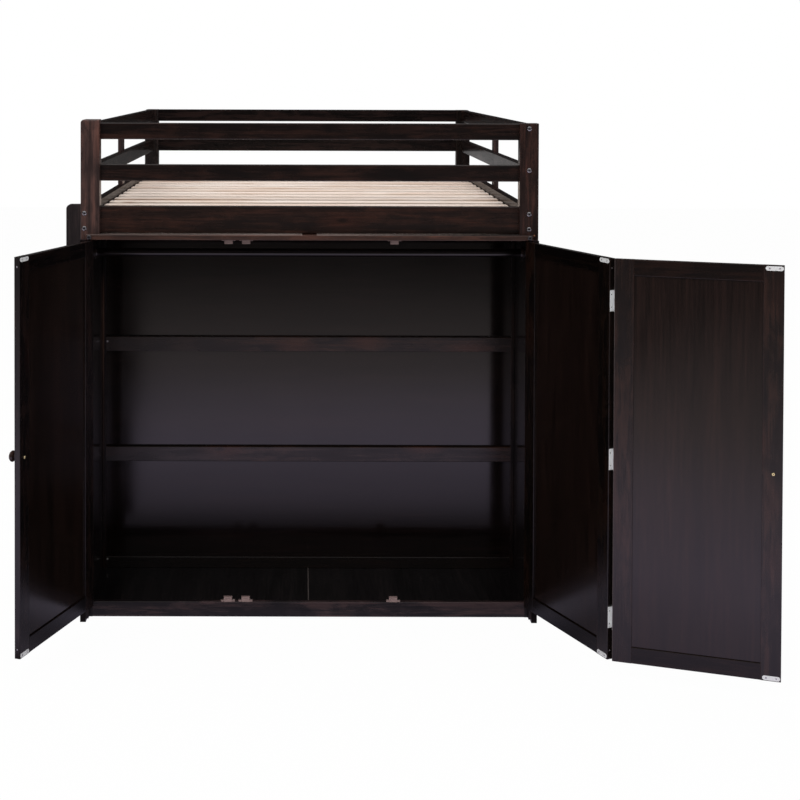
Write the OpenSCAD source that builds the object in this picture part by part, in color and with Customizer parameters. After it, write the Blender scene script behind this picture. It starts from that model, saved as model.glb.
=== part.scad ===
// Loft bed with a three-door wardrobe under its front end.
// X runs across the bed, Y from the front end to the rear end, Z up.
// The origin is on the floor, under the middle of the bed. Lengths are millimetres.

/* [Bed frame] */
// Width over the posts
bed_w = 1450; // [1250:10:1700]
// Length over the posts
bed_l = 2000; // [1800:10:2300]
// Height of the top of the bed rails
rail_top = 1318; // [1200:1:1500]
// Width of a post, across the bed
post_w = 60; // [52:1:80]
// Depth of a post, along the bed
post_d = 45; // [42:1:60]
// Extra height of the front left post
tall_post = 11; // [4:1:40]
// Rounding of the edges of posts and rails
edge_r = 3; // [1:0.5:5]
// Height of a bed rail
rail_h = 104; // [96:1:130]
// Thickness of bed rails and guard rails
rail_t = 24; // [18:1:28]
// Height of a guard rail
guard_h = 52; // [36:1:70]
// Clear gap under each guard rail
guard_gap = 80; // [50:1:100]
// Distance of the end rails behind the outer faces of the posts
end_set = 18; // [12:1:20]
// Thickness of the middle uprights, and distance of the side rails inside the posts
upright_t = 18; // [12:1:24]
// Width of a middle upright, along the bed
upright_w = 60; // [40:1:80]
// How far a middle upright ends below the top of the guard rails
upright_drop = 14; // [0:1:30]
// Height of the rear stretcher above the floor
stretcher_z = 260; // [100:5:500]

/* [Slats] */
// Width of a slat
slat_w = 70; // [50:1:100]
// Thickness of a slat
slat_t = 17; // [12:1:22]
// Distance from one slat to the next
slat_pitch = 134; // [110:1:180]
// Distance of the slats below the top of the bed rails
slat_drop = 27; // [10:1:35]
// Free space at each end of a slat
slat_gap = 4; // [2:1:10]
// Width of a slat ledge
ledge_w = 25; // [18:1:35]
// Height of a slat ledge
ledge_h = 32; // [20:1:40]
// Width of the centre beam
beam_w = 45; // [30:1:60]

/* [Ladder] */
// Distance of the ladder behind the front of the bed
ladder_y = 95; // [60:5:400]
// Width of the ladder over its stiles
ladder_w = 420; // [340:10:520]
// Width of a ladder stile, across the bed
ladder_stile_w = 60; // [45:1:80]
// Thickness of a ladder stile
ladder_stile_t = 25; // [20:1:32]
// Number of treads
treads = 4; // [3:1:5]
// Thickness of a tread
tread_t = 20; // [16:1:28]
// Rounding of the top of a stile
stile_top_r = 15; // [5:1:20]

/* [Wardrobe] */
// Thickness of side boards and bottom rail
board_t = 18; // [15:1:22]
// Distance of the wardrobe sides inside the outer faces of the posts
side_in = 1; // [0:0.5:4]
// Depth of the wardrobe behind the front of the posts
wardrobe_d = 412; // [360:2:480]
// Height of the bottom rail's underside
bottom_z = 11; // [5:1:30]
// Height of the bottom rail
bottom_h = 48; // [40:1:60]
// Width of a front stile
front_stile_w = 19; // [16:1:24]
// Width of the tongue that carries the hinges, in front of a front stile
stile_tongue = 8.5; // [6:0.5:10]
// Top of the floor panels above the floor
floor_top = 41; // [36:1:46]
// Thickness of the floor panels
floor_t = 12; // [9:1:15]
// Thickness of the back panels
back_t = 6; // [4:1:9]
// Distance of the back panels in from the rear edge of the sides
back_in = 3; // [2:1:10]
// Height of the lowest seam between back panels
seam_z = 459; // [380:1:540]
// Height of a back panel
back_panel_h = 379; // [300:1:390]
// Height of a back rail
back_rail_h = 50; // [35:1:70]
// Height of the batten on the floor
batten_h = 38; // [25:1:60]
// Width of a corner strip
strip_w = 12; // [10:1:20]
// Thickness of the wardrobe's top
top_t = 16; // [14:1:24]
// How far the wardrobe's top stands out in front of the posts
top_out = 22.5; // [21:0.5:28]
// Slit between the wardrobe's top and the front bed rail
rail_slit = 1.8; // [0.5:0.1:3]
// Diameter of the hanging rod
rod_d = 28; // [20:1:32]
// Height of the hanging rod's middle
rod_z = 1149; // [1080:1:1160]
// Distance of the hanging rod behind the front of the posts
rod_y = 200; // [120:5:260]

/* [Doors] */
// Thickness of a door
door_t = 18; // [15:1:20]
// Width of a door stile
door_stile = 55; // [40:1:70]
// Height of a door rail
door_rail = 46; // [40:1:70]
// Thickness of a door panel
panel_t = 7; // [5:0.5:9]
// Distance of a panel behind the inner face of its frame
panel_in = 5; // [3:0.5:6]
// Height of the doors' lower edge
door_z = 54; // [46:1:58]
// Gap above a door
door_top_gap = 2; // [1.5:0.5:5]
// Gap behind a closed door
door_back_gap = 1.6; // [1.3:0.1:2.2]
// Gap between neighbouring doors, other than at a hinge
meet_gap = 3; // [2:0.5:5]
// Angle at which the left door stands open
left_open = 109; // [60:0.5:165]
// Angle at which the inner leaf stands open
leaf_open = 112.5; // [60:0.5:165]
// Angle between the two leaves, from flat
fold_open = 48.5; // [20:0.5:120]

/* [Hinges and fittings] */
// Gap that a hinge fills between two edges
hinge_gap = 1; // [0.8:0.1:1.8]
// Thickness of a hinge leaf
hinge_leaf_t = 1; // [0.8:0.05:1]
// Height of a hinge
hinge_h = 61; // [40:1:80]
// Radius of a hinge knuckle
knuckle_r = 2.8; // [2.4:0.1:3.6]
// Radius of a hinge pin
hinge_pin_r = 1.4; // [1:0.1:1.6]
// Distance of the outer hinges' middles from the top and bottom of a door
hinge_end = 122; // [80:1:200]
// Diameter of a knob
knob_d = 33; // [26:1:40]
// Length of a knob, from the door's face
knob_l = 27; // [22:1:34]
// Distance of a knob from the door's free edge
knob_in = 25; // [20:1:40]
// Height of the knobs above the floor
knob_z = 632; // [500:2:800]
// Distance of the left door's catches from its free edge
left_catch_in = 23; // [22:1:60]
// Distance of the outer leaf's catches from its free edge
outer_catch_in = 30; // [28:1:60]
// Distance of the inner leaf's catches from its free edge
inner_catch_in = 36; // [30:1:60]
// Length of a catch over its ears
catch_l = 44; // [36:1:52]
// Height of a catch
catch_h = 14; // [10:1:17]
// Depth of a catch
catch_d = 15; // [12:1:17]
// Length of a strike plate
strike_l = 48; // [36:1:52]
// Height of a strike plate
strike_h = 12.5; // [9:0.5:13]
// Thickness of a strike plate
strike_t = 1; // [0.8:0.1:1]
// Diameter of a frame bolt's head
bolt_d = 15; // [10:0.5:16]

/* [Hidden] */
// Named clearances
pin_clear = 0.05;
knuckle_clear = 0.5;
rod_clear = 0.3;
seat_clear = 0.3;
bolt_clear = 0.25;
eps = 0.01;

// Bed frame
front = -bed_l / 2;
rear = bed_l / 2;
half_w = bed_w / 2;
rail_z = rail_top - rail_h;
mid_guard_z = rail_top + guard_gap;
top_guard_z = mid_guard_z + guard_h + guard_gap;
bed_top = top_guard_z + guard_h;
post_in_x = half_w - post_w;
front_in_y = front + post_d;
rear_in_y = rear - post_d;
side_rail_l = rear_in_y - front_in_y;
end_rail_y = front + end_set;
guard_x = half_w - upright_t - rail_t;
left_rail_x = -half_w;
right_rail_x = guard_x;
left_inner_x = left_rail_x + rail_t;
right_inner_x = right_rail_x;
post_top_r = 12;
post_nose_r = 6;
post_edge_r = 2;
upright_top = bed_top - upright_drop;
stretcher_h = 70;

// Slats
slat_top = rail_top - slat_drop;
slat_z = slat_top - slat_t;
slat_count = floor((side_rail_l - slat_w - 2 * slat_gap) / slat_pitch) + 1;
slat_run = (slat_count - 1) * slat_pitch + slat_w;
slat_y0 = -slat_run / 2;
ledge_z = slat_z - ledge_h;
beam_z = rail_z + top_t;
beam_h = slat_z - beam_z;
beam_x = 0;
slat_screw_in = 12;

// Ladder
ladder_y0 = front + ladder_y;
ladder_x0 = -half_w - ladder_stile_w;
ladder_top = rail_top - 2;
tread_in = 6;
tread_w = ladder_stile_w - tread_in;
tread_step = ladder_top / (treads + 1);
tread_tenon = 8;

// Wardrobe
side_outer = half_w - side_in;
side_inner = side_outer - board_t;
door_front = front - door_back_gap - door_t;
back_y = front + wardrobe_d;
panel_y = back_y - back_in - back_t;
frame_t = 18;
frame_y = panel_y - frame_t;
stile_inner = side_inner - front_stile_w;
stile_gap = 6;
bottom_top = bottom_z + bottom_h;
front_rail_z = rail_z + top_t + rail_slit;
floor_z = floor_top - floor_t;
floor_y0 = front + board_t;
cleat_w = 24;
top_seam_z = seam_z + back_panel_h;
top_end = side_inner - 1;
top_notch = 1;
socket_d = rod_d + 20;
socket_t = 8;

// Doors, as they stand when closed
door_edge = side_inner - stile_tongue - hinge_gap;
door_w = (2 * door_edge - hinge_gap - meet_gap) / 3;
door_h = rail_z - door_top_gap - door_z;
door_top = door_z + door_h;
pin_x = side_inner - stile_tongue - hinge_gap / 2;
fold_x = door_edge - door_w - hinge_gap / 2;
left_x0 = -door_edge;
outer_x0 = left_x0 + door_w + meet_gap;
inner_x0 = door_edge - door_w;
panel_groove = 8;
door_rail_l = door_w - 2 * door_stile;

// Hinges and fittings
hinge_zs = [door_z + hinge_end, door_z + door_h / 2, door_top - hinge_end];
hinge_w = door_t - 1.5;
leaf_gap = 0.4;
relief_r = knuckle_r + knuckle_clear;
pin_head = 0.8;
relief_up = hinge_h / 2 + pin_clear + pin_head + 2 * knuckle_clear;
strike_in = 2;
strike_edge = 2;
screw_head_r = 3.2;
screw_shank_r = 1.6;
bolt_r = bolt_d / 2;
bolt_head_h = 2.4;
bolt_shank_r = 3;
bolt_l = 70;
top_bolt_l = top_out + post_d - 12;
bolt_up = 11;
knob_screw_r = 2;

// Colours
wood = [0.16, 0.09, 0.075];
panel_wood = [0.13, 0.085, 0.075];
pine = [0.87, 0.74, 0.62];
steel = [0.78, 0.78, 0.78];
bronze = [0.42, 0.30, 0.22];
pewter = [0.45, 0.43, 0.42];

// A square bar with its long edges rounded; the long way is the axis named
module bar_x(p, size, r = edge_r) {
    translate(p)
        rotate([90, 0, 90])
            linear_extrude(size[0])
                rounded_rect(size[1], size[2], r);
}

module bar_y(p, size, r = edge_r) {
    translate([p[0], p[1] + size[1], p[2]])
        rotate([90, 0, 0])
            linear_extrude(size[1])
                rounded_rect(size[0], size[2], r);
}

module bar_z(p, size, r = edge_r) {
    translate(p)
        linear_extrude(size[2])
            rounded_rect(size[0], size[1], r);
}

// Rectangle from the origin with round corners
module rounded_rect(w, h, r) {
    union() {
        translate([r, 0])
            square([w - 2 * r, h]);
        translate([0, r])
            square([w, h - 2 * r]);
        for (x = [r, w - r], y = [r, h - r])
            translate([x, y])
                circle(r, $fn = 24);
    }
}

// Round bar along Y, from y0 to y1
module round_y(x, z, y0, y1, r) {
    translate([x, y0, z])
        rotate([-90, 0, 0])
            cylinder(h = y1 - y0, r = r, $fn = 32);
}

// Round bar along X, from x0 to x1
module round_x(y, z, x0, x1, r) {
    translate([x0, y, z])
        rotate([0, 90, 0])
            cylinder(h = x1 - x0, r = r, $fn = 32);
}

// Round bar along Z
module round_z(x, y, z0, z1, r) {
    translate([x, y, z0])
        cylinder(h = z1 - z0, r = r, $fn = 32);
}

// Places of the bolts that hold the side rails to an end post: [x, z] for each bolt
function rail_bolt_zs() = [rail_z + rail_h / 2 - 18, rail_z + rail_h / 2 + 30];
function guard_bolt_zs() = [mid_guard_z + guard_h / 2 + bolt_up, top_guard_z + guard_h / 2 + bolt_up];
left_bolts = [for (z = rail_bolt_zs()) [left_rail_x + rail_t / 2, z]];
right_bolts = [for (z = concat(rail_bolt_zs(), guard_bolt_zs())) [guard_x + rail_t / 2, z]];
rear_left_bolts = concat(left_bolts, [for (z = guard_bolt_zs()) [-guard_x - rail_t / 2, z]]);
top_bolts = [for (s = [-1, 1]) [s * (guard_x + rail_t / 2), rail_z + top_t / 2]];

module bolt_holes_y(bolts, y0, y1) {
    for (b = bolts)
        round_y(b[0], b[1], y0, y1, bolt_shank_r + bolt_clear);
}

module top_bolt_hole(b) {
    bolt_holes_y([b], front - 1, front - top_out + top_bolt_l + bolt_clear);
}

// Upright outline from the origin with its left upper corner rounded
module one_round_corner(w, h, r) {
    union() {
        square([w, h - r]);
        translate([r, 0])
            square([w - r, h]);
        translate([r, h - r])
            circle(r, $fn = 48);
    }
}

// Corner post at the left, its top rounded at the outer corner and along its front edge
module post_blank(y0, z0, z1, corner_r, nose_r) {
    intersection() {
        bar_z([-half_w, y0, z0], [post_w, post_d, z1 - z0]);
        translate([-half_w, y0 + post_d, z0])
            rotate([90, 0, 0])
                linear_extrude(post_d)
                    one_round_corner(post_w, z1 - z0, corner_r);
        translate([-half_w, y0, z0])
            rotate([90, 0, 90])
                linear_extrude(post_w)
                    one_round_corner(post_d, z1 - z0, nose_r);
    }
}

module front_post_left() {
    color(wood)
        difference() {
            post_blank(front, rail_z, bed_top + tall_post, post_top_r, post_nose_r);
            bolt_holes_y(left_bolts, front - 1, front + post_d + 1);
            top_bolt_hole(top_bolts[0]);
        }
}

module front_post_right() {
    color(wood)
        difference() {
            mirror([1, 0, 0])
                post_blank(front, rail_z, bed_top + 2, post_edge_r, post_edge_r);
            bolt_holes_y(right_bolts, front - 1, front + post_d + 1);
            top_bolt_hole(top_bolts[1]);
        }
}

module rear_post_left() {
    color(wood)
        difference() {
            post_blank(rear_in_y, 0, bed_top, post_top_r, post_edge_r);
            bolt_holes_y(rear_left_bolts, rear_in_y - 1, rear + 1);
        }
}

module rear_post_right() {
    color(wood)
        difference() {
            mirror([1, 0, 0])
                post_blank(rear_in_y, 0, bed_top, post_top_r, post_edge_r);
            bolt_holes_y(right_bolts, rear_in_y - 1, rear + 1);
        }
}

// End rails sit between the posts, side rails butt against the posts' inner faces
module end_rail(y0, z0, h) {
    color(wood)
        bar_x([-post_in_x, y0, z0], [2 * post_in_x, rail_t, h]);
}

module front_bed_rail() { end_rail(end_rail_y, front_rail_z, rail_top - front_rail_z); }
module front_guard_top() { end_rail(end_rail_y, top_guard_z, guard_h); }
module front_guard_mid() { end_rail(end_rail_y, mid_guard_z, guard_h); }

rear_rail_y = rear - end_set - rail_t;
module rear_bed_rail() { end_rail(rear_rail_y, rail_z, rail_h); }
module rear_guard_top() { end_rail(rear_rail_y, top_guard_z, guard_h); }
module rear_guard_mid() { end_rail(rear_rail_y, mid_guard_z, guard_h); }
module rear_stretcher() { end_rail(rear_rail_y, stretcher_z, stretcher_h); }

module side_rail(x0, z0, h, bolts) {
    color(wood)
        difference() {
            bar_y([x0, front_in_y, z0], [rail_t, side_rail_l, h]);
            bolt_holes_y(bolts, front_in_y - 1, front_in_y + bolt_l - post_d + bolt_clear);
            bolt_holes_y(bolts, rear_in_y - bolt_l + post_d - bolt_clear, rear_in_y + 1);
        }
}

module left_bed_rail() { side_rail(left_rail_x, rail_z, rail_h, left_bolts); }
module right_bed_rail() { side_rail(right_rail_x, rail_z, rail_h, right_bolts); }
module left_guard_top() { side_rail(-guard_x - rail_t, top_guard_z, guard_h, rear_left_bolts); }
module left_guard_mid() { side_rail(-guard_x - rail_t, mid_guard_z, guard_h, rear_left_bolts); }
module right_guard_top() { side_rail(guard_x, top_guard_z, guard_h, right_bolts); }
module right_guard_mid() { side_rail(guard_x, mid_guard_z, guard_h, right_bolts); }

// The left upright stands on the flush bed rail, the right one laps over all three rails
module middle_uprights() {
    color(wood) {
        bar_z([-half_w, -upright_w / 2, rail_top], [upright_t, upright_w, upright_top - rail_top], 2);
        bar_z([half_w - upright_t, -upright_w / 2, rail_z], [upright_t, upright_w, upright_top - rail_z], 2);
    }
}

// Mattress support
module slat_ledges() {
    color(wood) {
        bar_y([left_inner_x, front_in_y, ledge_z], [ledge_w, side_rail_l, ledge_h], 2);
        bar_y([right_inner_x - ledge_w, front_in_y, ledge_z], [ledge_w, side_rail_l, ledge_h], 2);
    }
}

module centre_beam() {
    color(wood)
        bar_y([beam_x - beam_w / 2, end_rail_y + rail_t, beam_z],
              [beam_w, rear_rail_y - end_rail_y - rail_t, beam_h], 2);
}

module slat_screw_holes(y) {
    for (x = [left_inner_x + slat_screw_in, right_inner_x - slat_screw_in])
        round_z(x, y + slat_w / 2, slat_z - 1, slat_top + 1, screw_shank_r + bolt_clear);
}

module slats() {
    color(pine)
        for (i = [0 : slat_count - 1]) {
            y = slat_y0 + i * slat_pitch;
            difference() {
                bar_x([left_inner_x + slat_gap, y, slat_z],
                      [right_inner_x - left_inner_x - 2 * slat_gap, slat_w, slat_t], 2.5);
                slat_screw_holes(y);
            }
        }
}

// Ladder on the left side, bolted to the flush bed rail
function ladder_stile_y(i) = ladder_y0 + i * (ladder_w - ladder_stile_t);

module ladder_stile(y0) {
    difference() {
        translate([0, y0 + ladder_stile_t, 0])
            rotate([90, 0, 0])
                linear_extrude(ladder_stile_t)
                    translate([ladder_x0, 0])
                        one_round_corner(ladder_stile_w, ladder_top, stile_top_r);
        for (i = [1 : treads])
            tread_blank(i, seat_clear);
    }
}

module ladder_stiles() {
    color(wood) {
        ladder_stile(ladder_stile_y(0));
        ladder_stile(ladder_stile_y(1));
    }
}

// A tread with its ends housed in the stiles; grow widens it into its housing
module tread_blank(i, grow) {
    translate([ladder_x0 + tread_in / 2 - grow,
               ladder_y0 + ladder_stile_t - tread_tenon - grow,
               i * tread_step - grow])
        cube([tread_w + 2 * grow,
              ladder_w - 2 * ladder_stile_t + 2 * tread_tenon + 2 * grow,
              tread_t + 2 * grow]);
}

module ladder_treads() {
    color(wood)
        for (i = [1 : treads])
            intersection() {
                tread_blank(i, 0);
                bar_y([ladder_x0 + tread_in / 2, ladder_y0, i * tread_step],
                      [tread_w, ladder_w, tread_t], 4);
            }
}

// Bolts: a domed head on the post, with a shank along Y
module bolt_y(x, z, y, dir, l) {
    translate([x, y, z])
        rotate([dir > 0 ? -90 : 90, 0, 0])
            rotate_extrude($fn = 36)
                polygon([
                    [0, -bolt_head_h],
                    [bolt_r * 0.45, -bolt_head_h],
                    [bolt_r * 0.8, -bolt_head_h * 0.72],
                    [bolt_r, -bolt_head_h * 0.2],
                    [bolt_r, 0],
                    [bolt_shank_r, 0],
                    [bolt_shank_r, l],
                    [0, l]
                ]);
}

module frame_bolts() {
    color(pewter) {
        for (b = concat(left_bolts, right_bolts))
            bolt_y(b[0], b[1], front, 1, bolt_l);
        for (b = concat(rear_left_bolts, right_bolts))
            bolt_y(b[0], b[1], rear, -1, bolt_l);
        for (b = top_bolts)
            bolt_y(b[0], b[1], front - top_out, 1, top_bolt_l);
    }
}

// Wardrobe carcass
module wardrobe_side(s) {
    x0 = s > 0 ? side_inner : -side_outer;
    color(wood)
        difference() {
            translate([x0, door_front, 0])
                cube([board_t, back_y - door_front, rail_z]);
            translate([s * side_inner, front + rod_y, rod_z])
                rotate([0, s * 90, 0])
                    cylinder(h = 6, r = screw_shank_r + bolt_clear, $fn = 24);
        }
}

module wardrobe_side_left() { wardrobe_side(-1); }
module wardrobe_side_right() { wardrobe_side(1); }

// Hollow round each knuckle and a shallow seat for each hinge leaf, on one side of the pins
module hinge_recesses(x, side) {
    for (z = hinge_zs) {
        round_z(x, door_front, z - relief_up, z + relief_up, relief_r);
        translate([x + (side > 0 ? leaf_gap / 2 : -leaf_gap / 2 - hinge_leaf_t), door_front - 1, z - hinge_h / 2])
            cube([hinge_leaf_t, hinge_w + 1, hinge_h]);
    }
}

// A front stile has a tongue beside the doors that takes the hinges
module front_stile(s) {
    stile_h = rail_z - stile_gap - bottom_z;
    x_stile = s > 0 ? stile_inner : -side_inner;
    x_tongue = s > 0 ? side_inner - stile_tongue : -side_inner;
    difference() {
        union() {
            bar_z([x_stile, front, bottom_z], [front_stile_w, board_t, stile_h], 1.5);
            translate([x_tongue, door_front, bottom_z])
                cube([stile_tongue, front - door_front + board_t / 2, stile_h]);
        }
        hinge_recesses(s * pin_x, s);
    }
}

module wardrobe_front_stiles() {
    color(wood) {
        front_stile(-1);
        front_stile(1);
    }
}

module wardrobe_bottom_rail() {
    color(wood)
        bar_x([-stile_inner, front, bottom_z], [2 * stile_inner, board_t, bottom_h], 2);
}

// Top board: its front edge passes in front of the posts, and behind them it fits between the side rails
module wardrobe_top() {
    mid_x = left_inner_x + seat_clear;
    color(wood)
        difference() {
            union() {
                bar_x([-top_end, front - top_out, rail_z], [2 * top_end, top_out, top_t], 2);
                translate([-post_in_x + top_notch, front - top_out / 2, rail_z])
                    cube([2 * (post_in_x - top_notch), top_out / 2 + post_d + 1, top_t]);
                translate([mid_x, front_in_y + seat_clear, rail_z])
                    cube([right_inner_x - seat_clear - mid_x, back_y - front_in_y - seat_clear, top_t]);
            }
            bolt_holes_y(top_bolts, front - top_out - 1, front + 1);
        }
}

module floor_panels() {
    color(panel_wood)
        for (x = [-side_inner, seat_clear / 2])
            translate([x, floor_y0, floor_z])
                cube([side_inner - seat_clear / 2, panel_y - floor_y0, floor_t]);
}

module floor_cleats() {
    color(wood) {
        translate([-stile_inner, floor_y0, bottom_z])
            cube([2 * stile_inner, cleat_w, floor_z - bottom_z]);
        translate([-stile_inner, panel_y - cleat_w, bottom_z])
            cube([2 * stile_inner, cleat_w, floor_z - bottom_z]);
        translate([-cleat_w, floor_y0 + cleat_w + seat_clear, bottom_z])
            cube([2 * cleat_w, panel_y - floor_y0 - 2 * (cleat_w + seat_clear), floor_z - bottom_z]);
    }
}

module back_panel(z0, z1) {
    color(panel_wood)
        translate([-side_inner, panel_y, z0])
            cube([2 * side_inner, back_t, z1 - z0]);
}

module back_panel_bottom() { back_panel(bottom_z, seam_z - seat_clear); }
module back_panel_middle() { back_panel(seam_z, top_seam_z - seat_clear); }
module back_panel_top() { back_panel(top_seam_z, rail_z - seat_clear); }

// Two rails behind the seams and a batten on the floor
module back_rails() {
    color(wood) {
        for (z = [seam_z, top_seam_z])
            bar_x([-side_inner + strip_w, frame_y, z - back_rail_h],
                  [2 * (side_inner - strip_w), frame_t, back_rail_h], 2);
        bar_x([-side_inner + strip_w, frame_y, floor_top],
              [2 * (side_inner - strip_w), frame_t, batten_h], 2);
    }
}

module corner_strips() {
    color(wood)
        for (x = [-side_inner, side_inner - strip_w])
            bar_z([x, frame_y, floor_top], [strip_w, frame_t, rail_z - floor_top], 1.5);
}

// Clothes rod and the cups that hold its ends
module hanging_rod() {
    color(wood)
        round_x(front + rod_y, rod_z, -side_inner + socket_t / 2, side_inner - socket_t / 2, rod_d / 2);
}

module rod_socket() {
    rotate_extrude($fn = 48)
        polygon([
            [0, 0],
            [socket_d / 2, 0],
            [socket_d / 2, socket_t * 0.35],
            [rod_d / 2 + 4, socket_t * 0.6],
            [rod_d / 2 + 3, socket_t],
            [rod_d / 2 + rod_clear, socket_t],
            [rod_d / 2 + rod_clear, socket_t / 2 - rod_clear],
            [0, socket_t / 2 - rod_clear]
        ]);
}

module rod_sockets() {
    color(wood)
        for (s = [-1, 1])
            translate([s * side_inner, front + rod_y, rod_z])
                rotate([0, -s * 90, 0])
                    rod_socket();
}

// Catches: a housing between two ears, one above and one below for each free corner
catch_xs = [left_x0 + door_w - left_catch_in, outer_x0 + outer_catch_in, inner_x0 + inner_catch_in];

module catch_body() {
    ear_t = 4;
    difference() {
        union() {
            bar_z([-catch_l * 0.3, 0, 0], [catch_l * 0.6, catch_d, catch_h], 2);
            bar_z([-catch_l / 2, 2, 0], [catch_l, catch_d - 4, ear_t], 1.5);
        }
        for (s = [-1, 1])
            round_z(s * catch_l * 0.4, catch_d / 2, -1, ear_t + 1, screw_shank_r);
        translate([-catch_l * 0.22, -1, catch_h - 8])
            cube([catch_l * 0.44, 2.4, 5]);
    }
}

module magnetic_catches() {
    color(bronze)
        for (x = catch_xs) {
            translate([x, front, bottom_top])
                catch_body();
            translate([x, front, rail_z])
                mirror([0, 0, 1])
                    catch_body();
        }
}

// Butt hinges: leaf, three knuckles and a pin with flat heads
module knuckle(x, z0, z1) {
    difference() {
        translate([x, door_front, z0])
            cylinder(h = z1 - z0, r = knuckle_r, $fn = 32);
        translate([x, door_front, z0 - 1])
            cylinder(h = z1 - z0 + 2, r = hinge_pin_r + pin_clear, $fn = 32);
    }
}

// One side of a hinge; side tells which way the leaf lies from the pin
module hinge_half(x, z, side, middle) {
    third = hinge_h / 3;
    gap = 0.3;
    x0 = side > 0 ? leaf_gap / 2 : -leaf_gap / 2 - hinge_leaf_t;
    zs = middle ? [[-third / 2 + gap, third / 2 - gap]]
                : [[-hinge_h / 2, -third / 2], [third / 2, hinge_h / 2]];
    for (k = zs)
        knuckle(x, z + k[0], z + k[1]);
    difference() {
        translate([x + x0, door_front, z - hinge_h / 2])
            cube([hinge_leaf_t, hinge_w, hinge_h]);
        translate([x, door_front, z - hinge_h / 2 - 1])
            cylinder(h = hinge_h + 2, r = hinge_pin_r + pin_clear, $fn = 32);
        for (k = middle ? [[-hinge_h / 2 - 1, -third / 2 + gap], [third / 2 - gap, hinge_h / 2 + 1]]
                        : [[-third / 2, third / 2]])
            round_z(x, door_front, z + k[0], z + k[1], relief_r);
        for (k = [-1, 1])
            round_x(door_front + door_t * 0.6, z + k * hinge_h * 0.3, x - 5, x + 5, screw_shank_r);
    }
}

module hinge_pin(x, z) {
    z0 = z - hinge_h / 2 - pin_clear;
    z1 = z + hinge_h / 2 + pin_clear;
    union() {
        round_z(x, door_front, z0, z1, hinge_pin_r);
        round_z(x, door_front, z0 - pin_head, z0, knuckle_r * 0.85);
        round_z(x, door_front, z1, z1 + pin_head, knuckle_r * 0.85);
    }
}

module frame_hinge_leaves() {
    color(steel)
        for (z = hinge_zs) {
            hinge_half(-pin_x, z, -1, false);
            hinge_half(pin_x, z, 1, false);
        }
}

module frame_hinge_pins() {
    color(steel)
        for (z = hinge_zs, s = [-1, 1])
            hinge_pin(s * pin_x, z);
}

// Doors are drawn closed and then swung to where they stand
module swing(x, a) {
    translate([x, door_front, 0])
        rotate([0, 0, a])
            translate([-x, -door_front, 0])
                children();
}

module at_left_door() { swing(-pin_x, -left_open) children(); }
module at_inner_leaf() { swing(pin_x, leaf_open) children(); }
module at_outer_leaf() { at_inner_leaf() swing(fold_x, fold_open) children(); }

module door_stile_bar(x0, hinge_x, hinged) {
    difference() {
        bar_z([x0, door_front, door_z], [door_stile, door_t, door_h], 1.5);
        if (hinged)
            hinge_recesses(hinge_x, x0 > hinge_x ? 1 : -1);
        children();
    }
}

module panel_groove_cut(x0) {
    translate([x0 + door_stile - panel_groove - seat_clear,
               door_front + door_t - panel_in - panel_t - seat_clear,
               door_z + door_rail - panel_groove - seat_clear])
        cube([door_rail_l + 2 * panel_groove + 2 * seat_clear,
              panel_t + 2 * seat_clear,
              door_h - 2 * door_rail + 2 * panel_groove + 2 * seat_clear]);
}

module knob_hole(x) {
    round_y(x, knob_z, door_front - 1, door_front + door_t + 1, knob_screw_r + bolt_clear);
}

module door_stiles(x0, left_hinge, right_hinge, knob_x) {
    color(wood) {
        door_stile_bar(x0, x0 - hinge_gap / 2, left_hinge) {
            panel_groove_cut(x0);
            knob_hole(knob_x);
        }
        door_stile_bar(x0 + door_w - door_stile, x0 + door_w + hinge_gap / 2, right_hinge) {
            panel_groove_cut(x0);
            knob_hole(knob_x);
        }
    }
}

module door_rails(x0) {
    color(wood)
        for (z = [door_z, door_top - door_rail])
            difference() {
                bar_x([x0 + door_stile, door_front, z], [door_rail_l, door_t, door_rail], 1.5);
                panel_groove_cut(x0);
            }
}

module door_panel(x0) {
    color(panel_wood)
        translate([x0 + door_stile - panel_groove,
                   door_front + door_t - panel_in - panel_t,
                   door_z + door_rail - panel_groove])
            cube([door_rail_l + 2 * panel_groove, panel_t, door_h - 2 * door_rail + 2 * panel_groove]);
}

// Oblong plate with two screw holes on the inner face, at the top and the bottom corner
module strike_plate(x, z) {
    y0 = door_front + door_t;
    translate([x, y0, z])
        rotate([-90, 0, 0])
            linear_extrude(strike_t)
                difference() {
                    union() {
                        square([strike_l - strike_h, strike_h], center = true);
                        for (s = [-1, 1])
                            translate([s * (strike_l - strike_h) / 2, 0])
                                circle(d = strike_h, $fn = 40);
                    }
                    for (s = [-1, 1])
                        translate([s * strike_l * 0.28, 0])
                            circle(screw_shank_r, $fn = 24);
                }
}

module strikes(x) {
    color(steel)
        for (z = [door_z + strike_edge + strike_h / 2, door_top - strike_edge - strike_h / 2])
            strike_plate(x, z);
}

// Turned knob on the front face and its screw from inside
module knob(x) {
    r = knob_d / 2;
    neck = r * 0.42;
    translate([x, door_front, knob_z])
        rotate([90, 0, 0])
            rotate_extrude($fn = 64)
                difference() {
                    union() {
                        polygon([
                            [0, 0],
                            [r * 0.66, 0],
                            [r * 0.66, knob_l * 0.06],
                            [neck * 1.12, knob_l * 0.16],
                            [neck, knob_l * 0.3],
                            [neck * 1.2, knob_l * 0.42],
                            [r * 0.82, knob_l * 0.52],
                            [r, knob_l * 0.68],
                            [r * 0.97, knob_l * 0.8],
                            [r * 0.8, knob_l * 0.92],
                            [r * 0.45, knob_l * 0.985],
                            [0, knob_l]
                        ]);
                    }
                    translate([0, -1])
                        square([knob_screw_r + pin_clear, knob_l * 0.6 + 1]);
                }
}

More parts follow.
